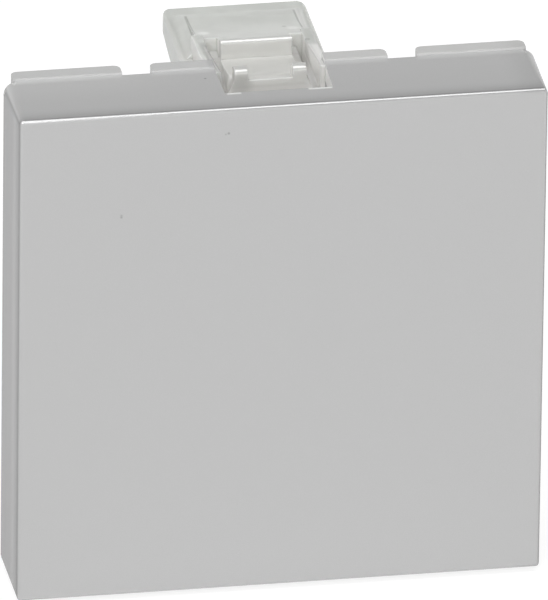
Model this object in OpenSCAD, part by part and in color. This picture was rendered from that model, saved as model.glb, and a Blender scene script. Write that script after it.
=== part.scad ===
// Blank wiring module, two units wide.
// One moulding: a hollow square cap with rim tabs behind its top and bottom edges,
// and a snap claw in the middle of the top and bottom.
// X runs left to right, Y from the front face to the back, Z up. Millimetres.
// The origin is the middle of the plane of the rim tabs' rear faces, where the module seats.

/* [Cap] */
// Width of the cap at its rear rim
cap_w = 45; // [44:0.1:46]
// Height of the cap at its rear rim
cap_h = 45; // [44:0.1:46]
// Depth of the cap, front face to rear rim
cap_d = 7.45; // [7:0.05:8.5]
// Thickness of the front face
face_t = 1.8; // [1.2:0.1:2.4]
// Thickness of the four side walls
wall_t = 1.5; // [1.2:0.1:1.8]
// How much each side leans in from the rear rim to the front face
side_taper_w = 0.2; // [0.05:0.05:0.3]
// Radius of the four corners at the rear rim
corner_rear_r = 1.1; // [0.9:0.1:1.3]
// Radius of the four corners at the front face
corner_front_r = 0.5; // [0.4:0.05:0.7]
// Rounding of the edge around the front face
face_edge_r = 0.35; // [0.2:0.05:0.4]

/* [Rim tabs] */
// How far the tabs reach behind the cap's rim
tab_d = 1.4; // [1:0.1:2]
// How far the tabs stand above the cap
tab_proud = 0.25; // [0.1:0.05:0.4]
// Width of each corner tab
side_tab_w = 9.25; // [8:0.25:9.5]
// Distance from a corner tab's outer end to the side of the cap
side_tab_inset = 0.75; // [0.6:0.05:1]
// Width of the middle tab, which the claw's slot divides
centre_tab_w = 20; // [18:0.5:21]
// Rounding of the tabs' rear corners, seen from above
tab_corner_r = 0.6; // [0.3:0.1:0.9]

/* [Release slot] */
// Distance from the front face to the slot's front edge
slot_setback = 2.95; // [2.5:0.05:3.4]
// Width of the slot at its front edge
slot_front_w = 9.1; // [8.6:0.1:9.4]
// Width of the slot at the rim
slot_rear_w = 9.3; // [9.1:0.1:9.5]

/* [Claw beam] */
// Width of the claw's rear plate
beam_w = 12.3; // [11.8:0.1:13]
// Reach of the claw behind the seat plane
beam_reach = 17.2; // [16.5:0.1:19]
// Depth of the plate's top below the top of the cap
beam_drop = 2.9; // [2.7:0.1:3.1]
// Thickness of the plate
plate_t = 1.4; // [1.2:0.1:1.6]
// Thickness of the skirts along both sides of the plate
skirt_t = 1.1; // [0.9:0.1:1.2]
// Height of the skirts, from the plate's top down
skirt_h = 2.8; // [2.4:0.1:3.4]
// Height of the skirts' rear end, from the plate's top down
skirt_end_h = 1.1; // [0.9:0.1:1.6]
// Radius of the plate's rear corners, seen from above
plate_corner_r = 1.5; // [1:0.1:2]
// Rounding of the plate's top edges
plate_edge_r = 0.35; // [0.1:0.05:0.5]

/* [Snap tongue] */
// Width of the tongue along its top
tongue_w = 6.1; // [5.6:0.1:6.3]
// How far each flank of the tongue spreads out below its top edge
flank_spread = 0.6; // [0.4:0.05:0.7]
// Height over which the flanks spread
flank_h = 1.2; // [0.8:0.1:1.4]
// Hollowing of the tongue's top between its free end and the tooth
tongue_hollow = 0.15; // [0.05:0.05:0.25]
// Distance from the tongue's free end back to the seat plane
tongue_lead = 1.95; // [1.7:0.05:2.1]
// Depth of the free end's top below the top of the cap
tongue_drop = 0.95; // [0.8:0.05:1.1]
// Depth of the tooth's root below the top of the cap
root_drop = 2.2; // [2.1:0.05:2.3]
// Distance from the seat plane to the tooth's catch face
catch_reach = 4.95; // [4.6:0.05:5.3]
// Depth of the shelves beside the tooth below its root
shelf_drop = 0.1; // [0.05:0.05:0.3]
// Height of the tooth above its root
tooth_h = 1.65; // [1.4:0.05:1.8]
// Rounding of the tooth's crest
crest_r = 0.35; // [0.2:0.05:0.45]
// Width of each lug on the free end
lug_w = 1.15; // [0.9:0.05:1.3]
// Depth of the lugs, front to back
lug_d = 1.2; // [1:0.05:1.4]
// Rounding of the lugs' top edges
lug_r = 0.45; // [0.2:0.05:0.5]

/* [Lead-in ramp] */
// Width of the ramp behind the tooth, along its top
ramp_w = 9.3; // [9:0.1:9.6]
// How far each side of the ramp spreads out down to the plate
ramp_spread = 1; // [0.6:0.1:1.1]
// Height of the ramp above the plate where its tail begins
ramp_h = 0.85; // [0.6:0.05:1]
// Length of the ramp's tail, which curves down to the plate
ramp_tail = 2; // [1.6:0.1:2.6]
// Distance from the ramp's rear end to the plate's rear edge
ramp_inset = 2; // [1.6:0.1:2.4]
// Hollowing of the ramp between the tooth's crest and its tail
ramp_hollow = 0.35; // [0.1:0.05:0.4]

/* [Guard walls] */
// Clear width between the guard walls
guard_gap = 8.4; // [8.2:0.05:8.6]
// Thickness of a guard wall
guard_t = 0.9; // [0.8:0.05:1]
// Depth of a guard wall's front corner below the top of the cap
guard_drop = 0.05; // [0.05:0.05:0.3]
// Depth of a guard wall's level top edge below the top of the cap
guard_fall = 1.05; // [0.9:0.05:1.2]
// Length of the sloping part of a guard wall's top edge
guard_slope_l = 6.25; // [5.8:0.05:6.6]
// Length of the level part of a guard wall's top edge
guard_level_l = 3.9; // [3.6:0.1:4.2]
// Rounding of a guard wall's rear end
guard_end_r = 0.8; // [0.5:0.1:1]
// Distance from the slits' rear ends to the guard walls' rear ends
slit_inset = 1.3; // [0.8:0.1:1.6]

/* [Hidden] */
$fn = 96;
overlap = 0.5;
tab_root = wall_t / 3;
seat_y = cap_d + tab_d;
top_z = cap_h / 2;
plate_z = top_z - beam_drop;
plate_under_z = plate_z - plate_t;
beam_end_y = seat_y + beam_reach;
free_end_z = top_z - tongue_drop;
root_z = top_z - root_drop;
catch_y = seat_y + catch_reach;
crest_z = root_z + tooth_h;
free_end_y = seat_y - tongue_lead;
guard_end_y = free_end_y + guard_slope_l + guard_level_l;
// the slits beside the tongue end a little before the guard walls do
slit_end_y = guard_end_y - slit_inset;
tongue_tilt = atan((free_end_z - root_z) / (catch_y - free_end_y));
ramp_end_y = beam_end_y - ramp_inset;
tail_y = ramp_end_y - ramp_tail;
tail_z = plate_z + ramp_h;
tail_r = (ramp_tail * ramp_tail + ramp_h * ramp_h) / (2 * ramp_h);
// arc of the skirts' lower edge: level at arc_start_y, up to skirt_end_h at the rear end
arc_start_y = slit_end_y;
arc_run = beam_end_y - arc_start_y;
arc_rise = skirt_h - skirt_end_h;
arc_r = (arc_run * arc_run + arc_rise * arc_rise) / (2 * arc_rise);

// Side view outlines are drawn with depth across and height up; this stands them in the YZ plane
module across(width) {
    rotate([90, 0, 90])
        linear_extrude(width, center = true)
            children();
}

// Cone tangent to two leaning sides of a cap corner
module corner_cone(half_w, half_h, depth, front_r, rear_r, lean) {
    front_point = [half_w - lean - front_r, 0, half_h - lean - front_r];
    rear_point = [half_w - rear_r, depth, half_h - rear_r];
    along = rear_point - front_point;
    len = norm(along);
    growth = (rear_r - front_r) / len;
    lean_angle = atan(lean / depth);
    widen = cos(lean_angle) / cos(asin(growth * cos(lean_angle)));
    translate(front_point)
        rotate([0, acos(along[2] / len), atan2(along[1], along[0])])
            translate([0, 0, -overlap])
                cylinder(
                    h = len + 2 * overlap,
                    r1 = (front_r - growth * overlap) * widen,
                    r2 = (rear_r + growth * overlap) * widen
                );
}

// Outline of a leaning block with a rounded front edge, half sizes given
module leaning_outline(half, depth, lean, edge_r) {
    // the rounding ends on the leaning side
    centre_x = half - lean - edge_r + lean * edge_r / depth;
    difference() {
        polygon([[-half + lean, 0], [half - lean, 0], [half, depth], [-half, depth]]);
        for (side = [0, 1])
            mirror([side, 0])
                difference() {
                    translate([centre_x, -overlap])
                        square([edge_r + overlap, edge_r + overlap]);
                    translate([centre_x, edge_r])
                        circle(edge_r);
                }
    }
}

// Strip between the corner cones' axes, half sizes given
module inner_strip(half, depth, lean, front_r, rear_r) {
    polygon([
        [-(half - lean - front_r), 0],
        [half - lean - front_r, 0],
        [half - rear_r, depth],
        [-(half - rear_r), depth]
    ]);
}

module rounded_block(width, height, depth, lean, front_r, rear_r, edge_r) {
    half_w = width / 2;
    half_h = height / 2;
    intersection() {
        linear_extrude(height + 2 * overlap, center = true)
            leaning_outline(half_w, depth, lean, edge_r);
        across(width + 2 * overlap)
            rotate(-90)
                mirror([1, 0])
                    leaning_outline(half_h, depth, lean, edge_r);
        union() {
            linear_extrude(height + 2 * overlap, center = true)
                inner_strip(half_w, depth, lean, front_r, rear_r);
            across(width + 2 * overlap)
                rotate(-90)
                    mirror([1, 0])
                        inner_strip(half_h, depth, lean, front_r, rear_r);
            for (right = [0, 1])
                for (low = [0, 1])
                    mirror([right, 0, 0])
                        mirror([0, 0, low])
                            corner_cone(half_w, half_h, depth, front_r, rear_r, lean);
        }
    }
}

module cap_shell() {
    difference() {
        rounded_block(cap_w, cap_h, cap_d, side_taper_w, corner_front_r, corner_rear_r, face_edge_r);
        translate([-cap_w / 2 + wall_t, face_t, -cap_h / 2 + wall_t])
            cube([cap_w - 2 * wall_t, cap_d, cap_h - 2 * wall_t]);
    }
}

// Rim tab seen from above, centred on x, rear corners rounded; its root runs into the cap's wall
module tab(width) {
    difference() {
        union() {
            translate([-width / 2, cap_d, top_z - wall_t])
                cube([width, tab_d, wall_t + tab_proud]);
            translate([-width / 2, cap_d - tab_root, top_z - wall_t])
                cube([width, tab_root + tab_d / 2, wall_t - side_taper_w]);
        }
        for (side = [0, 1])
            mirror([side, 0, 0])
                translate([width / 2, seat_y, top_z - wall_t - overlap])
                    linear_extrude(wall_t + tab_proud + 2 * overlap)
                        corner_waste(tab_corner_r);
    }
}

module rim_tabs() {
    tab(centre_tab_w);
    for (side = [-1, 1])
        translate([side * (cap_w / 2 - side_tab_inset - side_tab_w / 2), 0, 0])
            tab(side_tab_w);
}

module release_slot() {
    translate([0, 0, top_z - wall_t - overlap])
        linear_extrude(wall_t + tab_proud + 2 * overlap)
            polygon([
                [-slot_front_w / 2, slot_setback],
                [slot_front_w / 2, slot_setback],
                [slot_rear_w / 2, cap_d],
                [slot_rear_w / 2, seat_y + overlap],
                [-slot_rear_w / 2, seat_y + overlap],
                [-slot_rear_w / 2, cap_d]
            ]);
}

// Square corner less its rounding, to be cut away; the corner points to +x and +y
module corner_waste(r) {
    translate([-r, -r])
        difference() {
            square(r + overlap);
            circle(r);
        }
}

// Side view of the claw's beam: level underside, then an arc up to the thin rear end
module beam_side(height) {
    difference() {
        union() {
            translate([face_t, plate_z - height])
                square([arc_start_y - face_t, height]);
            intersection() {
                translate([arc_start_y - overlap, plate_z - height])
                    square([arc_run + overlap, height]);
                translate([arc_start_y, plate_z - height + arc_r])
                    circle(arc_r);
            }
        }
        translate([beam_end_y, plate_z])
            corner_waste(plate_edge_r);
    }
}

module beam_plan() {
    difference() {
        translate([-beam_w / 2, 0])
            square([beam_w, beam_end_y]);
        for (side = [0, 1])
            mirror([side, 0])
                translate([beam_w / 2, beam_end_y])
                    corner_waste(plate_corner_r);
    }
}

// Section across the beam, seen from the front: plate with a skirt down each side
module beam_section() {
    difference() {
        translate([-beam_w / 2, plate_z - skirt_h])
            square([beam_w, skirt_h]);
        translate([-beam_w / 2 + skirt_t, plate_z - skirt_h - overlap])
            square([beam_w - 2 * skirt_t, skirt_h - plate_t + overlap]);
        for (side = [0, 1])
            mirror([side, 0])
                translate([beam_w / 2, plate_z])
                    corner_waste(plate_edge_r);
    }
}

module beam() {
    intersection() {
        translate([0, beam_end_y, 0])
            rotate([90, 0, 0])
                linear_extrude(beam_end_y)
                    beam_section();
        translate([0, 0, plate_z - skirt_h])
            linear_extrude(skirt_h)
                beam_plan();
        across(beam_w)
            beam_side(skirt_h);
    }
}

// Opening through the plate that frees the tongue, from the face to the slits' ends
module tongue_opening() {
    translate([-guard_gap / 2, face_t - overlap, plate_under_z - overlap])
        cube([guard_gap, slit_end_y - face_t + overlap, top_z]);
}

module guard_walls() {
    for (side = [-1, 1])
        translate([side * (guard_gap + guard_t) / 2, 0, 0])
            across(guard_t)
                difference() {
                    polygon([
                        [free_end_y, plate_under_z],
                        [free_end_y, top_z - guard_drop],
                        [free_end_y + guard_slope_l, top_z - guard_fall],
                        [guard_end_y, top_z - guard_fall],
                        [guard_end_y, plate_under_z]
                    ]);
                    translate([guard_end_y, top_z - guard_fall])
                        corner_waste(guard_end_r);
                }
}

// Hollow above the line between two points: a disc's edge through both, dipping below the line
module hollow_between(from, to, dip) {
    chord = to - from;
    half_chord = norm(chord) / 2;
    r = (half_chord * half_chord + dip * dip) / (2 * dip);
    intersection() {
        translate((from + to) / 2 + [-chord[1], chord[0]] / norm(chord) * (r - dip))
            circle(r);
        translate([from[0], to[1] - dip])
            square([chord[0], from[1] - to[1] + 2 * dip]);
    }
}

// Side view of the tongue, its tooth and the ramp behind it
module tongue_side() {
    crest_point = [catch_y + crest_r, crest_z];
    difference() {
        polygon([
            [free_end_y, plate_under_z + plate_t / 2],
            [free_end_y, free_end_z],
            [catch_y, root_z],
            [catch_y, crest_z - crest_r],
            [catch_y + crest_r, crest_z - crest_r],
            crest_point,
            [tail_y, tail_z],
            [tail_y, plate_under_z],
            [free_end_y + plate_t / 2, plate_under_z]
        ]);
        hollow_between([free_end_y, free_end_z], [catch_y, root_z], tongue_hollow);
        hollow_between(crest_point, [tail_y, tail_z], ramp_hollow);
    }
    translate([catch_y + crest_r, crest_z - crest_r])
        circle(crest_r);
    intersection() {
        translate([tail_y - overlap, plate_under_z])
            square([ramp_tail + overlap, plate_t + ramp_h]);
        translate([tail_y, tail_z - tail_r])
            circle(tail_r);
    }
}

// Section across the tongue, heights measured from its top edges
module tongue_section() {
    half = tongue_w / 2;
    polygon([
        [-half, beam_drop],
        [half, beam_drop],
        [half, 0],
        [half + flank_spread, -flank_h],
        [half + flank_spread, -2 * beam_drop],
        [-half - flank_spread, -2 * beam_drop],
        [-half - flank_spread, -flank_h],
        [-half, 0]
    ]);
}

// Section across the ramp, sides sloping down to the plate
module ramp_section() {
    half = ramp_w / 2;
    polygon([
        [-half - ramp_spread, plate_z],
        [-half, tail_z],
        [-half, crest_z],
        [half, crest_z],
        [half, tail_z],
        [half + ramp_spread, plate_z],
        [half + ramp_spread, plate_under_z],
        [-half - ramp_spread, plate_under_z]
    ]);
}

module lugs() {
    for (side = [-1, 1])
        translate([side * (tongue_w - lug_w) / 2, 0, 0])
            across(lug_w) {
                translate([free_end_y, root_z])
                    square([lug_d, top_z - lug_r - root_z]);
                translate([free_end_y + lug_r, root_z])
                    square([lug_d - 2 * lug_r, top_z - root_z]);
                for (corner_y = [lug_r, lug_d - lug_r])
                    translate([free_end_y + corner_y, top_z - lug_r])
                        circle(lug_r);
            }
}

module tongue() {
    tongue_l = slit_end_y - free_end_y + overlap;
    shelf_w = tongue_w + 2 * flank_spread;
    shelf_h = root_z - shelf_drop - plate_under_z;
    intersection() {
        across(beam_w)
            tongue_side();
        union() {
            translate([0, free_end_y, free_end_z])
                rotate([-tongue_tilt, 0, 0])
                    translate([0, tongue_l, 0])
                        rotate([90, 0, 0])
                            linear_extrude(tongue_l + 2 * overlap)
                                tongue_section();
            // level shelves beside the tooth, a little below its root
            translate([-shelf_w / 2, free_end_y - overlap, plate_under_z - overlap])
                cube([shelf_w, tongue_l + overlap, shelf_h + overlap]);
        }
    }
    // the ramp is wider than the tongue and starts where the slits end
    intersection() {
        across(beam_w)
            tongue_side();
        translate([0, ramp_end_y, 0])
            rotate([90, 0, 0])
                linear_extrude(ramp_end_y - slit_end_y)
                    ramp_section();
    }
    lugs();
}

module claw() {
    difference() {
        beam();
        tongue_opening();
    }
    guard_walls();
    tongue();
}

module cover() {
    color("silver")
        translate([0, -seat_y, 0])
            union() {
                difference() {
                    union() {
                        cap_shell();
                        rim_tabs();
                        mirror([0, 0, 1])
                            rim_tabs();
                    }
                    release_slot();
                    mirror([0, 0, 1])
                        release_slot();
                }
                claw();
                mirror([0, 0, 1])
                    claw();
            }
}

cover();
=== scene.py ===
"""Looks of a blank wiring module: silver paint over pale plastic, on a plain pale stage."""

import math

import bmesh
import bpy
import numpy as np
from bpy.props import FloatProperty, FloatVectorProperty, PointerProperty
from mathutils import Matrix, Vector


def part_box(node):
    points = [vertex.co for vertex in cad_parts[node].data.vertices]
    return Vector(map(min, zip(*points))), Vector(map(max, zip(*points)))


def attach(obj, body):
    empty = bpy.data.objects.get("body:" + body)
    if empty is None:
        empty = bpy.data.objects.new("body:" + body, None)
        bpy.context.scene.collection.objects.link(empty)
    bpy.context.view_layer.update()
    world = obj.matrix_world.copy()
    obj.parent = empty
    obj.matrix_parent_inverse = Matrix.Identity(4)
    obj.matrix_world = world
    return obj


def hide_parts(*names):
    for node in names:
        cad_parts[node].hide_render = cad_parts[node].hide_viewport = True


bl_info = {
    "name": "Blank Wiring Module",
    "version": (1, 0, 0),
    "blender": (4, 5, 0),
    "location": "View3D > Sidebar > Module",
    # The paint's marks are dirt specks, painted shade and painted highlights
    "description": "Dresses a blank snap-in wiring module in worn silver paint, on a plain stage",
    "category": "Object",
}

MM = 0.001

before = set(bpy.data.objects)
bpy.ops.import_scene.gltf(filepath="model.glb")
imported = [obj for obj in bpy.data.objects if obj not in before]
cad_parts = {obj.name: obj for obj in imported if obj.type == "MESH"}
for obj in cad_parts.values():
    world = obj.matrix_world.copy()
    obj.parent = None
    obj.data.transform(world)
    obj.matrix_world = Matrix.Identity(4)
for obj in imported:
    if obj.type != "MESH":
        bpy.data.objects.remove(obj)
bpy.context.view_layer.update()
COVER_LOW, COVER_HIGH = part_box("cover")

# The moulding in millimetres: its front face, half its width and the insides of its walls
FRONT = COVER_LOW[1] / MM
HALF_WIDTH = COVER_HIGH[0] / MM
HOLLOW_FRONT = FRONT + 1.8
HOLLOW_HALF = HALF_WIDTH - 1.5
# Heights from the module's middle of the cap's upper surface and of the tabs' tops
CAP_TOP = 22.0
TAB_TOP = 22.61

# Mesh clean-up: points closer than this are one, and facets that meet at less than this angle are one face
MERGE_GAP = 0.002 * MM
FLAT_ANGLE = math.radians(0.5)

# Noise sizes, in repeats to a metre
CLOUD_SCALE = 450.0
FLAKE_SCALE = 14000.0
GRAIN_SCALE = 9000.0
GRAIN_RISE = 0.0012 * MM

# Mark colours: painted shade, with dirt specks; painted highlights, with paler patches; painted shade behind
# the front edge
PAINTED_SHADE_AND_DIRT = (0.05, 0.05, 0.045, 1)
HIGHLIGHT_AND_PALE_PATCH = (0.95, 0.96, 0.94, 1)
PAINTED_EDGE_SHADE = (0.04, 0.04, 0.04, 1)
WHITE = (1, 1, 1, 1)

PICTURE_HEIGHT = 600
SENSOR_WIDTH = 36.0
FLOOR_HALF = 3.0
# Height of a ray's direction at which the tent begins to dim, and at which it is at its dimmest
TENT_FADE = (0.1, 0.4)
# Place and size of each softbox, in metres
OVERHEAD_BOX = ((0.0, -0.09, 0.5), (0.7, 0.3))
FRONT_BOX = ((-0.45, -1.25, 0.9), (0.8, 0.8))


# Colours and nodes


def srgb(r, g, b):
    """Linear colour of 0-255 display values: the display curve, undone."""
    value = np.array([r, g, b], float) / 255
    low = value / 12.92
    high = ((value + 0.055) / 1.055) ** 2.4
    return tuple(float(x) for x in np.where(value <= 0.04045, low, high))


def tint(colour, factor=1.0):
    """Colour times a factor, with an alpha of 1."""
    return (*[channel * factor for channel in colour], 1)


class Shader:
    """Short hand for building one material's nodes."""

    def __init__(self, name):
        self.material = bpy.data.materials.new(name)
        self.material.use_nodes = True
        self.tree = self.material.node_tree
        self.tree.nodes.clear()
        self.column = 0

    def node(self, kind, inputs=None, **settings):
        """One node, with settings on the node and values or links on its inputs."""
        made = self.tree.nodes.new(kind)
        made.location = (self.column * 180, 0)
        self.column += 1
        for key, value in settings.items():
            setattr(made, key, value)
        for key, value in (inputs or {}).items():
            if isinstance(value, bpy.types.NodeSocket):
                self.tree.links.new(value, made.inputs[key])
            else:
                made.inputs[key].default_value = value
        return made

    def maths(self, operation, *values, clamp=False):
        """Output of a Math node on sockets or numbers."""
        made = self.node("ShaderNodeMath", dict(enumerate(values)), operation=operation, use_clamp=clamp)
        return made.outputs[0]

    def both(self, first, *others):
        """Product of masks and strengths: shows only where all of them do."""
        for other in others:
            first = self.maths("MULTIPLY", first, other)
        return first

    def either(self, first, *others):
        """Greatest of masks: shows where any of them does."""
        for other in others:
            first = self.maths("MAXIMUM", first, other)
        return first

    def between(self, value, low, high, to_low=0.0, to_high=1.0):
        """Smooth step of value from low to high, mapped to to_low and to_high."""
        inputs = {0: value, 1: low, 2: high, 3: to_low, 4: to_high}
        made = self.node("ShaderNodeMapRange", inputs, interpolation_type="SMOOTHSTEP")
        return made.outputs[0]

    def mix(self, factor, one, two):
        """Colour mix of two colours or sockets."""
        inputs = {0: factor, 6: one, 7: two}
        made = self.node("ShaderNodeMix", inputs, data_type="RGBA")
        return made.outputs[2]

    def noise(self, place, scale, detail):
        """Even noise around 0.5 on a place."""
        made = self.node("ShaderNodeTexNoise", {"Vector": place, "Scale": scale, "Detail": detail})
        return made.outputs[0]


# Settings


class ModuleCoverSettings(bpy.types.PropertyGroup):
    """Edge rounding and finish of the moulding"""

    edge_round: FloatProperty(
        name="Edge rounding", description="Radius that softens the moulding's small edges",
        default=0.14 * MM, min=0, unit="LENGTH", precision=5,
    )
    smooth_angle: FloatProperty(
        name="Smooth angle", description="Faces that meet at less than this run smoothly into each other",
        default=math.radians(30), unit="ROTATION",
    )
    crown_reach: FloatProperty(
        name="Crown reach", description="How far behind the front edge the sides begin to curve in",
        default=2.4 * MM, min=0, unit="LENGTH", precision=4,
    )
    crown_drop: FloatProperty(
        name="Crown drop", description="How far the sides have curved in at the front edge",
        default=0.16 * MM, min=0, unit="LENGTH", precision=5,
    )
    paint_colour: FloatVectorProperty(
        name="Paint colour", description="Silver paint on the front and sides",
        default=srgb(196, 196, 196), size=3, subtype="COLOR",
    )
    plastic_colour: FloatVectorProperty(
        name="Plastic colour", description="Bare moulding under the paint",
        default=srgb(211, 213, 209), size=3, subtype="COLOR",
    )
    # Cleaner bare plastic, and painted light: this lighter colour also lifts the shaded slot walls, tongue,
    # plate corners and right guard
    sheltered_colour: FloatVectorProperty(
        name="Sheltered colour", description="Cleaner, warmer plastic where the spray didn't reach",
        default=srgb(237, 236, 234), size=3, subtype="COLOR",
    )
    # Painted shade: the left and right outer sides get a darker paint colour, as they face away from most of
    # the light
    side_shade: FloatProperty(
        name="Side shade", description="Brightness of the paint on the left and right, which it only grazed",
        default=0.57, min=0, max=1,
    )
    paint_metal: FloatProperty(
        name="Paint metal", description="Share of metal flake in the paint",
        default=0.16, min=0, max=1,
    )
    tongue_metal: FloatProperty(
        name="Tongue metal", description="Share of metal flake on the tongue and its tooth",
        default=0.38, min=0, max=1,
    )
    rim_metal: FloatProperty(
        name="Rim metal", description="Extra share of metal flake on the rounding of the front edge",
        default=0.45, min=0, max=1,
    )
    paint_roughness: FloatProperty(
        name="Paint roughness", description="Roughness of the paint",
        default=0.25, min=0, max=1,
    )


class ModuleStageSettings(bpy.types.PropertyGroup):
    """Camera, lamps and floor"""

    azimuth: FloatProperty(
        name="Camera azimuth", description="Turn of the camera to the module's left",
        default=math.radians(10.067), unit="ROTATION",
    )
    elevation: FloatProperty(
        name="Camera elevation", description="How far the camera looks down",
        default=math.radians(25.934), unit="ROTATION",
    )
    roll: FloatProperty(
        name="Camera roll", description="Turn of the picture",
        default=math.radians(0.7247), unit="ROTATION",
    )
    distance: FloatProperty(
        name="Camera distance", description="From the camera to the aim point",
        default=1.7605, min=0.1, unit="LENGTH",
    )
    aim: FloatVectorProperty(
        name="Aim point", description="Where the middle of the picture looks",
        default=(-0.386 * MM, -7.055 * MM, 3.495 * MM), size=3, subtype="TRANSLATION",
    )
    pixels_per_mm: FloatProperty(
        name="Picture scale", description="Pixels of the picture to a millimetre at the aim point",
        default=11.952, min=1,
    )
    floor_colour: FloatVectorProperty(
        name="Floor colour", description="Pale floor",
        default=(0.8, 0.8, 0.8), size=3, subtype="COLOR",
    )
    floor_shade: FloatProperty(
        name="Floor shade", description="How strongly the module's shadow shows on the white floor",
        default=0.35, min=0, max=1,
    )
    tent_light: FloatProperty(
        name="Tent light", description="Brightness of the tent overhead",
        default=0.18, min=0,
    )
    overhead_power: FloatProperty(
        name="Overhead softbox", description="Power of the softbox over the module",
        default=1.7, min=0, unit="POWER",
    )
    front_power: FloatProperty(
        name="Front softbox", description="Power of the softbox beside the camera",
        default=9.3, min=0, unit="POWER",
    )


# Zones of the moulding, in millimetres from its middle
# across and depth are its X and Y, side and height are the distances to either side of the middle in X and Z


def ramp(axis, zero_at, full_at):
    """A mask's edge: 0 at the first place and 1 at the second and beyond it."""
    return ((axis, zero_at, full_at),)


def band(axis, low, high, soft):
    """A mask's two edges: 1 from low to high, and 0 at soft outside them."""
    return ramp(axis, low - soft, low) + ramp(axis, high + soft, high)


def line(axis, middle, half_width):
    """A thin band: 1 within 0.3 of its half width and 0 at the whole of it."""
    full = 0.3 * half_width
    return band(axis, middle - full, middle + full, half_width - full)


CAP_SURFACE = ramp("height", CAP_TOP - 0.1, CAP_TOP + 0.1)
TAB_SURFACE = ramp("height", TAB_TOP - 0.05, TAB_TOP + 0.05)
SLOT_EDGE = line("depth", -6.0, 0.26) + ramp("height", 22.2, 22.3)

ZONES = {
    "claw": ramp("depth", -2.3, -2.1) + ramp("side", 4.64, 4.6),
    "behind_tabs": ramp("depth", 0.02, 0.1),
    "hollow": (
        ramp("depth", HOLLOW_FRONT - 0.15, HOLLOW_FRONT - 0.05)
        + ramp("side", HOLLOW_HALF + 0.15, HOLLOW_HALF + 0.05)
        + ramp("height", HOLLOW_HALF + 0.15, HOLLOW_HALF + 0.05)
    ),
    "under_tongue": ramp("height", 20.3, 19.9),
    "beside_tongue": ramp("side", 5.2, 5.4),
    "slot_walls": ramp("side", 4.85, 4.75) + ramp("depth", 0.1, -0.1),
    "right_tabs": ramp("across", 4.4, 4.9) + TAB_SURFACE,
    "outer_sides": ramp("side", 19, 21),
    "slot_floor": ramp("height", 21.4, 20.6) + ramp("depth", -0.6, -1.6),
    "inside_skirts": ramp("side", 5.8, 5.6),
    "before_tabs": ramp("depth", -0.1, -0.6),
    "tongue": band("depth", -2.1, 5.4, 0.3) + ramp("side", 4.4, 4.2),
    "plate_corners": ramp("side", 4.9, 5.2) + ramp("depth", 11.0, 4.0),
    "right_guard": band("across", 4.1, 5.2, 0.1) + ramp("depth", 5.0, 4.0),
    "guard_front": ramp("depth", 4.0, 3.0),
    "tooth_recess": (
        band("depth", 4.9, 7.1, 0.1) + band("side", 3.1, 4.3, 0.05) + ramp("height", 21.5, 21.2)
    ),
    "groove": line("side", 4.62, 0.16) + band("depth", 9.2, 13.3, 0.5),
    "crest_back": line("depth", 5.72, 0.2) + ramp("side", 3.2, 3.0),
    "lug_back": line("depth", -0.95, 0.3) + ramp("height", 22.2, 22.3) + ramp("side", 3.3, 3.1),
    "plate_margin": ramp("side", 5.2, 6.0) + ramp("depth", 0.2, 0.8),
    "guard_end": band("across", 4.3, 5.5, 0.2) + band("depth", 4.8, 8.5, 0.6),
    "right_rim": (
        ramp("across", HALF_WIDTH - 0.35, HALF_WIDTH - 0.25)
        + ramp("depth", FRONT, FRONT + 0.05)
        + ramp("depth", FRONT + 0.6, FRONT + 0.3)
    ),
    "right_end": ramp("across", 19.0, 22.0) + CAP_SURFACE,
    "slot_edge_left": SLOT_EDGE + band("across", -4.3, -3.3, 0.2),
    "slot_edge_right": SLOT_EDGE + band("across", 2.6, 4.4, 0.2),
    "crease": line("depth", 15.3, 0.14) + band("across", -0.6, 2.4, 0.3),
    "left_tabs": ramp("across", -4.9, -5.4) + TAB_SURFACE,
    "rear_left": ramp("across", -6.0, -14.0) + ramp("depth", -6.0, -1.5) + CAP_SURFACE,
    "top_and_bottom": ramp("height", CAP_TOP, CAP_TOP + 0.2),
    "past_rounding": ramp("depth", FRONT + 0.2, FRONT + 0.4),
    "rounding": ramp("depth", FRONT, FRONT + 0.03) + ramp("depth", FRONT + 0.45, FRONT + 0.3),
    "tongue_top": ramp("height", 20.1, 20.4),
    "past_lug_front": ramp("depth", -1.93, -1.88),
}

# Strength of each zone's mark: painted shade for the dark ones; painted highlights, painted light and
# lighter tab tops for the light ones
# Painted shade in the ramp's grooves, behind the crest and the lugs, on the plate's edges, at the right
# guard's end, on the right rim and towards the right of the top
PAINTED_SHADE_ZONES = {
    "groove": 0.35, "crest_back": 0.35, "lug_back": 0.35, "plate_margin": 0.08,
    "guard_end": 0.12, "right_rim": 0.4, "right_end": 0.1,
}
# Painted highlights on the slot's front edges and the ramp's crease, lighter tops of the left tabs, and
# painted light on the rear left of the top
LIGHT_ZONES = {
    "slot_edge_left": 0.95, "slot_edge_right": 0.95, "crease": 0.35, "left_tabs": 0.22, "rear_left": 0.08,
}

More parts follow.
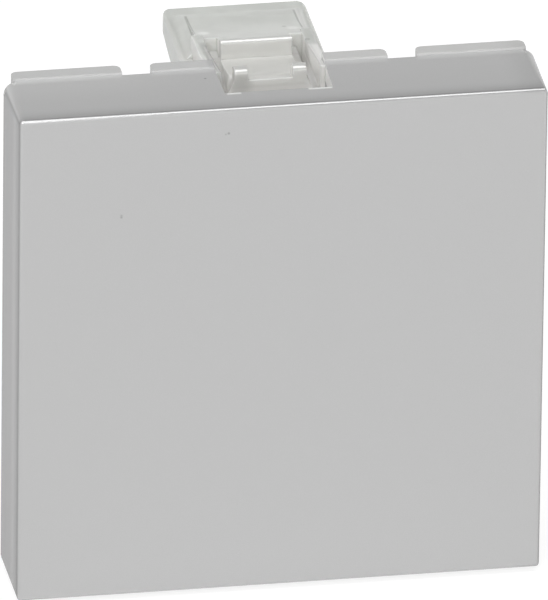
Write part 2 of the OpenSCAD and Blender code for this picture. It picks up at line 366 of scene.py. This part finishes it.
# Round marks: centre and radius in millimetres, and how strongly each one shows; dark ones are dirt and
# painted shade, light ones are paler patches and a painted highlight
DARK_SPOTS = (
    # Dirt specks on the front face and a dirt smudge beside the slot
    ((-4.70, -8.85, 20.08), 0.16, 0.35),
    ((-4.95, -8.85, 20.00), 0.13, 0.2),
    ((-13.70, -8.85, 13.10), 0.15, 0.25),
    ((-13.70, -8.85, 12.95), 0.15, 0.3),
    ((-5.72, -2.97, 22.45), 0.16, 0.4),
    # Darker spots on the plate and the ramp
    ((-4.25, 6.90, 19.60), 0.35, 0.2),
    ((3.14, 9.67, 20.70), 0.3, 0.25),
    # Painted shadow at the right guard's rear end, and painted shade on the left lug's front
    ((4.40, 5.48, 21.45), 0.4, 0.35),
    ((-2.50, -1.95, 21.20), 1.4, 0.17),
)
LIGHT_SPOTS = (
    # Paler patches on the plate beside the guards' rear ends
    ((-3.85, 9.05, 20.90), 0.75, 0.4),
    ((3.80, 9.05, 20.90), 0.75, 0.35),
    # Painted highlight on the ramp's rear crease
    ((-0.40, 15.35, 19.60), 0.3, 0.4),
)


class CoverShader(Shader):
    """Material of the moulding, with its zones as masks."""

    def __init__(self, name):
        super().__init__(name)
        self.place = self.node("ShaderNodeTexCoord").outputs["Object"]
        axes = self.node("ShaderNodeSeparateXYZ", {0: self.place})
        self.axes = {
            "across": axes.outputs["X"],
            "depth": axes.outputs["Y"],
            "side": self.maths("ABSOLUTE", axes.outputs["X"]),
            "height": self.maths("ABSOLUTE", axes.outputs["Z"]),
        }
        facing = self.node("ShaderNodeSeparateXYZ", {0: self.node("ShaderNodeTexCoord").outputs["Normal"]})
        self.sideways = self.between(self.maths("ABSOLUTE", facing.outputs["X"]), 0.75, 0.97)
        self.rearward = self.between(facing.outputs["Y"], 0.5, 0.9)

    def zone(self, name):
        """Mask of a zone: the product of its edges."""
        edges = []
        for axis, zero_at, full_at in ZONES[name]:
            low, high = sorted((zero_at * MM, full_at * MM))
            rises = zero_at < full_at
            edges.append(self.between(self.axes[axis], low, high, float(not rises), float(rises)))
        return self.both(*edges)

    def spot(self, centre, radius):
        """1 inside a small round spot and 0 outside it: the distance from its centre, smoothly stepped."""
        middle = [value * MM for value in centre]
        gap = self.node("ShaderNodeVectorMath", {0: self.place, 1: middle}, operation="DISTANCE")
        return self.between(gap.outputs["Value"], 0.3 * radius * MM, radius * MM, 1.0, 0.0)

    def marks(self, zones, spots):
        """Mask of all dark or all light marks, each at its own strength: the dark ones painted shade and
        dirt, the light ones painted highlights, painted light and paler patches.
        """
        masks = [self.both(self.zone(name), strength) for name, strength in zones.items()]
        masks += [self.both(self.spot(centre, radius), strength) for centre, radius, strength in spots]
        return self.either(*masks)


def bare_plastic(s):
    """Masks of all bare plastic, of the cap's hollow alone and of the slots' walls alone."""
    off_tongue = s.either(s.zone("under_tongue"), s.zone("beside_tongue"))
    hollow = s.both(s.zone("hollow"), off_tongue)
    slot_walls = s.both(s.sideways, s.zone("slot_walls"))
    thin_coat = s.both(s.zone("right_tabs"), 0.35)
    bare = s.either(s.zone("claw"), s.zone("behind_tabs"), hollow, thin_coat, s.rearward, slot_walls)
    return bare, hollow, slot_walls


def paint_colour(s, settings):
    """Silver with a fine flake, with painted shade on the left and right outer sides."""
    flake = s.between(s.noise(s.place, FLAKE_SCALE, 1.0), 0.3, 0.7)
    paint = s.mix(flake, tint(settings.paint_colour, 0.975), tint(settings.paint_colour, 1.025))
    # Painted shade on the left and right outer sides
    outer_sides = s.both(s.sideways, s.zone("outer_sides"))
    return s.mix(outer_sides, paint, tint(settings.paint_colour, settings.side_shade))


def plastic_colour(s, settings, hollow, slot_walls):
    """Clouded plastic, cleaner, warmer and lighter on the tongues, in the slots and inside the cap, partly
    the bare plastic's own colour and partly painted light that lifts these shaded places; the tooth's recess
    and the right guard's inside get a brighter painted glow.
    """
    cloud = s.between(s.noise(s.place, CLOUD_SCALE, 3.0), 0.35, 0.65)
    plastic = s.mix(cloud, tint(settings.plastic_colour), tint(settings.plastic_colour, 0.95))
    guard = s.zone("right_guard")
    fair = s.either(s.zone("tongue"), s.zone("plate_corners"), guard)
    claw_walls = s.both(s.either(s.sideways, s.zone("slot_floor")), s.zone("inside_skirts"))
    inside = s.both(hollow, s.zone("before_tabs"))
    # Cleaner bare plastic, lighter also as painted light that lifts the shaded claw walls, slot walls,
    # tongue, plate corners and right guard
    clean_and_painted_light = s.either(claw_walls, inside, slot_walls, s.both(fair, 0.65))
    # Painted glow: the tooth's recess and the inside of the right guard made brighter still
    guard_inside = s.both(guard, s.sideways, s.zone("guard_front"), 0.8)
    painted_glow = s.either(s.both(s.zone("tooth_recess"), 0.4), guard_inside)
    plastic = s.mix(clean_and_painted_light, plastic, tint(settings.sheltered_colour))
    return s.mix(painted_glow, plastic, tint(settings.sheltered_colour, 1.12))


def front_edge(s, settings):
    """How far the sides have curved in, as a height, and the painted shade behind the front edge, which
    stands in for the darker reflection there, strongest on the top and bottom and fading across the top.
    The curve is a parabola: the drop times the square of the share of the reach that is left."""
    depth = s.axes["depth"]
    front = FRONT * MM
    run = s.maths("DIVIDE", s.maths("SUBTRACT", depth, front), settings.crown_reach)
    bend = s.maths("POWER", s.maths("SUBTRACT", 1.0, run, clamp=True), 2.0)
    crown = s.both(bend, -settings.crown_drop)
    top = s.zone("top_and_bottom")
    # Painted shade: a slight darkening across the top and bottom towards the front, and a stronger band just
    # behind the rounding on all four sides
    front_shade_fade = s.between(depth, front, front + 9 * MM, 0.07, 0.0)
    edge_shade = s.both(bend, s.maths("ADD", 0.06, s.both(top, 0.30)))
    edge_shade = s.both(s.zone("past_rounding"), s.maths("ADD", edge_shade, s.both(front_shade_fade, top)))
    return crown, edge_shade


def metal_flake(s, settings, bare):
    """Share of metal: in the paint, more of it on the front edge's rounding and on top of the tongues."""
    rounding = s.both(s.zone("rounding"), s.zone("top_and_bottom"))
    paint = s.maths("ADD", settings.paint_metal, s.both(rounding, settings.rim_metal))
    paint = s.both(s.maths("SUBTRACT", 1.0, bare), paint)
    lug_front = s.maths("MULTIPLY_ADD", s.zone("past_lug_front"), 0.5, 0.5)
    tongue = s.both(s.zone("tongue"), s.zone("tongue_top"), lug_front, settings.tongue_metal)
    return s.either(paint, tongue)


def cover_material(settings):
    """Satin silver paint sprayed from the front over pale translucent plastic.
    The plastic is bare inside the cap and on the claws' rear plates, and shows through on the right tabs."""
    s = CoverShader("silver_paint_on_pale_plastic")
    bare, hollow, slot_walls = bare_plastic(s)
    colour = s.mix(bare, paint_colour(s, settings), plastic_colour(s, settings, hollow, slot_walls))
    # Painted shade in creases, behind the crest and lugs, on rounded edges and towards the right, with dirt
    # specks; then painted highlights, painted light and paler patches
    colour = s.mix(s.marks(PAINTED_SHADE_ZONES, DARK_SPOTS), colour, PAINTED_SHADE_AND_DIRT)
    colour = s.mix(s.marks(LIGHT_ZONES, LIGHT_SPOTS), colour, HIGHLIGHT_AND_PALE_PATCH)
    crown, edge_shade = front_edge(s, settings)
    # Painted shade behind the front edge
    colour = s.mix(edge_shade, colour, PAINTED_EDGE_SHADE)
    rise = s.maths("ADD", crown, s.both(s.noise(s.place, GRAIN_SCALE, 2.0), GRAIN_RISE))
    soft = s.node("ShaderNodeBevel", {"Radius": settings.edge_round}, samples=6)
    bump = s.node("ShaderNodeBump", {
        "Height": rise, "Strength": 1.0, "Distance": 1.0, "Normal": soft.outputs[0],
    })
    shader = s.node("ShaderNodeBsdfPrincipled", {
        "Base Color": colour,
        "Metallic": metal_flake(s, settings, bare),
        "Roughness": settings.paint_roughness,
        "Specular IOR Level": 0.15,
        "Normal": bump.outputs[0],
        "Subsurface Weight": bare,
        "Subsurface Radius": (1.0, 1.0, 1.0),
        "Subsurface Scale": 0.8 * MM,
    })
    s.node("ShaderNodeOutputMaterial", {"Surface": shader.outputs[0]})
    return s.material


# Cover


def merged_copy(node, name):
    """Copy of a CAD node as one connected mesh: doubles merged, flat regions joined into single faces."""
    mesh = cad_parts[node].data.copy()
    mesh.name = name
    work = bmesh.new()
    work.from_mesh(mesh)
    bmesh.ops.remove_doubles(work, verts=work.verts, dist=MERGE_GAP)
    bmesh.ops.dissolve_limit(
        work, angle_limit=FLAT_ANGLE, use_dissolve_boundaries=False, verts=work.verts, edges=work.edges,
    )
    work.to_mesh(mesh)
    work.free()
    mesh.materials.clear()
    piece = bpy.data.objects.new(name, mesh)
    bpy.context.scene.collection.objects.link(piece)
    return piece


class MODULE_OT_cover(bpy.types.Operator):
    """Dress the moulding: softened edges and silver paint, with dirt specks, painted shade and painted
    highlights
    """

    bl_idname = "module.cover"
    bl_label = "Cover"

    def execute(self, context):
        settings = context.scene.module_cover
        piece = merged_copy("cover", "painted_cover")
        piece.data.materials.append(cover_material(settings))
        piece.data.shade_smooth()
        piece.data.set_sharp_from_angle(angle=settings.smooth_angle)
        weighted = piece.modifiers.new("even_normals", "WEIGHTED_NORMAL")
        weighted.keep_sharp = True
        weighted.weight = 100
        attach(piece, "root")
        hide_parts("cover")
        return {"FINISHED"}


# Stage


def camera_axes(settings):
    """Right, up and forward of the camera, from its azimuth, elevation and roll."""
    az, el, roll = settings.azimuth, settings.elevation, settings.roll
    forward = Vector((math.sin(az) * math.cos(el), math.cos(az) * math.cos(el), -math.sin(el)))
    level = Vector((math.cos(az), -math.sin(az), 0))
    rise = level.cross(forward)
    right = math.cos(roll) * level + math.sin(roll) * rise
    up = math.cos(roll) * rise - math.sin(roll) * level
    return right, up, forward


def make_camera(settings):
    """Camera at its distance from the aim point, with the lens that gives the picture's scale there."""
    right, up, forward = camera_axes(settings)
    place = Vector(settings.aim) - settings.distance * forward
    data = bpy.data.cameras.new("camera")
    data.sensor_width = SENSOR_WIDTH
    seen = PICTURE_HEIGHT / settings.pixels_per_mm * MM
    data.lens = data.sensor_width * settings.distance / seen
    data.clip_start = 0.1
    data.clip_end = 20
    camera = bpy.data.objects.new("camera", data)
    turn = Matrix((right, up, -forward)).transposed().to_4x4()
    camera.matrix_world = Matrix.Translation(place) @ turn
    bpy.context.scene.collection.objects.link(camera)
    bpy.context.scene.camera = camera


def make_softbox(name, place, size, power):
    """White rectangular lamp that faces the module's middle."""
    data = bpy.data.lights.new(name, "AREA")
    data.shape = "RECTANGLE"
    data.size, data.size_y = size
    data.energy = power
    lamp = bpy.data.objects.new(name, data)
    lamp.location = place
    lamp.rotation_euler = (-Vector(place)).to_track_quat("-Z", "Y").to_euler()
    bpy.context.scene.collection.objects.link(lamp)


def floor_material(settings):
    """Pale floor that glows white to the camera, in gloss and through glass, and still shows shadows."""
    s = Shader("pale_floor")
    rays = s.node("ShaderNodeLightPath")
    kinds = ("Is Camera Ray", "Is Transmission Ray", "Is Glossy Ray")
    seen = s.either(*[rays.outputs[kind] for kind in kinds])
    cloth = s.mix(seen, tint(settings.floor_colour), tint(settings.floor_colour, settings.floor_shade))
    cloth = s.node("ShaderNodeBsdfDiffuse", {"Color": cloth})
    glow = s.both(seen, 1 - settings.floor_shade / 2)
    white = s.node("ShaderNodeEmission", {"Color": WHITE, "Strength": glow})
    sum_of_both = s.node("ShaderNodeAddShader", {0: cloth.outputs[0], 1: white.outputs[0]})
    s.node("ShaderNodeOutputMaterial", {"Surface": sum_of_both.outputs[0]})
    return s.material


def flat_floor(name, half):
    """Square floor under the module: z is the module's lowest point, x and y run from -half to half."""
    corner = np.array([-half, half])
    x, y = np.meshgrid(corner, corner)
    grid = np.stack([x.ravel(), y.ravel(), np.full(x.size, COVER_LOW[2])], axis=1)
    mesh = bpy.data.meshes.new(name)
    mesh.from_pydata(grid.tolist(), [], [(0, 1, 3, 2)])
    piece = bpy.data.objects.new(name, mesh)
    bpy.context.scene.collection.objects.link(piece)
    return piece


def make_world(settings):
    """Light tent: white at the horizon, dimmer overhead."""
    world = bpy.data.worlds.new("studio")
    world.use_nodes = True
    tree = world.node_tree
    place = tree.nodes.new("ShaderNodeTexCoord")
    axes = tree.nodes.new("ShaderNodeSeparateXYZ")
    fade = tree.nodes.new("ShaderNodeMapRange")
    fade.interpolation_type = "SMOOTHSTEP"
    limits = zip(("From Min", "From Max", "To Min", "To Max"), (*TENT_FADE, 1.0, settings.tent_light))
    for socket, value in limits:
        fade.inputs[socket].default_value = value
    tree.links.new(place.outputs["Generated"], axes.inputs[0])
    tree.links.new(axes.outputs["Z"], fade.inputs["Value"])
    background = tree.nodes["Background"]
    background.inputs["Color"].default_value = WHITE
    tree.links.new(fade.outputs[0], background.inputs["Strength"])
    bpy.context.scene.world = world


class MODULE_OT_stage(bpy.types.Operator):
    """Set the module on a pale floor with soft lamps and the camera"""

    bl_idname = "module.stage"
    bl_label = "Stage"

    def execute(self, context):
        settings = context.scene.module_stage
        floor = flat_floor("floor", FLOOR_HALF)
        floor.data.materials.append(floor_material(settings))
        make_world(settings)
        make_softbox("overhead_softbox", *OVERHEAD_BOX, settings.overhead_power)
        make_softbox("front_softbox", *FRONT_BOX, settings.front_power)
        make_camera(settings)
        context.scene.view_settings.view_transform = "Standard"
        return {"FINISHED"}


# Panel and registration


class MODULE_PT_panel(bpy.types.Panel):
    """Sizes, colours and buttons of the module"""

    bl_label = "Blank Wiring Module"
    bl_idname = "MODULE_PT_panel"
    bl_space_type = "VIEW_3D"
    bl_region_type = "UI"
    bl_category = "Module"

    def draw(self, context):
        for group, operator in (("module_cover", "module.cover"), ("module_stage", "module.stage")):
            settings = getattr(context.scene, group)
            box = self.layout.box()
            for key in settings.__annotations__:
                box.prop(settings, key)
            box.operator(operator)


CLASSES = (ModuleCoverSettings, ModuleStageSettings, MODULE_OT_cover, MODULE_OT_stage, MODULE_PT_panel)


def register():
    for cls in CLASSES:
        bpy.utils.register_class(cls)
    bpy.types.Scene.module_cover = PointerProperty(type=ModuleCoverSettings)
    bpy.types.Scene.module_stage = PointerProperty(type=ModuleStageSettings)


def unregister():
    del bpy.types.Scene.module_stage
    del bpy.types.Scene.module_cover
    for cls in reversed(CLASSES):
        bpy.utils.unregister_class(cls)


def main():
    register()
    bpy.ops.module.cover()
    bpy.ops.module.stage()
    bpy.context.view_layer.update()


if __name__ == "__main__":
    main()
